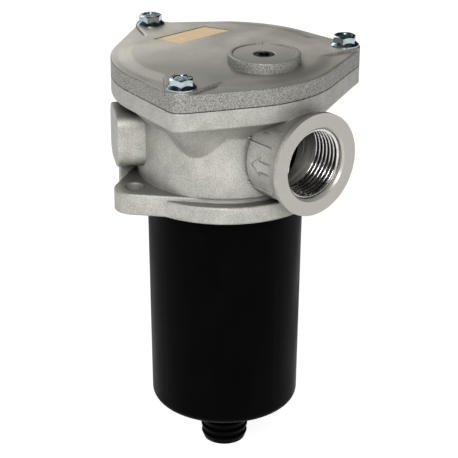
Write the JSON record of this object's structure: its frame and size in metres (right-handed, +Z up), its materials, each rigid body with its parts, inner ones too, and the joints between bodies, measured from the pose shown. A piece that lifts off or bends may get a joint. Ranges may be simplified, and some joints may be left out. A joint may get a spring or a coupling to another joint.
{
  "type": "return line filter",
  "caption": "Tank-top hydraulic return filter: cast head with side inlet, lobed cover, black moulded bowl with hose outlet, element and sprung bypass valve.",
  "frame": {"origin": "centre of the mounting flange's underside, on the bowl's axis", "axes": "+Z up the bowl's axis towards the cover, +X out of the threaded inlet"},
  "size_m": [0.1277, 0.1172, 0.2108],
  "materials": {
    "head_casting": "grit-blasted casting",
    "cover_casting": "cast, satin",
    "bowl_moulding": "semi-matt",
    "plated_screw": "zinc plated",
    "dark_steel": "blackened",
    "spring_steel": "bright",
    "label_film": "matt",
    "seal_rubber": "matt",
    "filter_medium": "matt",
    "tinned_steel": "tinned",
    "valve_moulding": "matt",
    "valve_metal": "turned"
  },
  "bodies": {
    "housing": {"head": "head_casting", "cover": "cover_casting", "cover_seal": "seal_rubber", "label": "label_film", "indicator_plug": "dark_steel", "bowl": "bowl_moulding", "hose_connector": "bowl_moulding", "bowl_seal": "seal_rubber", "bowl_retainer": "spring_steel", "element_pleats": "filter_medium", "element_core": "tinned_steel", "element_bottom_cap": "tinned_steel", "element_top_cap": "tinned_steel", "element_seal": "seal_rubber", "bypass_seat": "valve_moulding", "bypass_spring": "spring_steel", "hold_down_spring": "spring_steel", "cover_screw_1": "plated_screw", "cover_screw_2": "plated_screw", "cover_screw_3": "plated_screw"},
    "bypass_valve": {"bypass_poppet": "valve_metal", "bypass_retainer": "valve_metal"}
  },
  "joints": [
    {"name": "bypass_lift", "type": "slide", "parent": "housing", "child": "bypass_valve", "axis": [0, 0, -1], "range_m": [0, 0.004], "stiffness_N_per_m": 2000, "springref_m": -0.006, "deforming": ["bypass_spring"]}
  ]
}
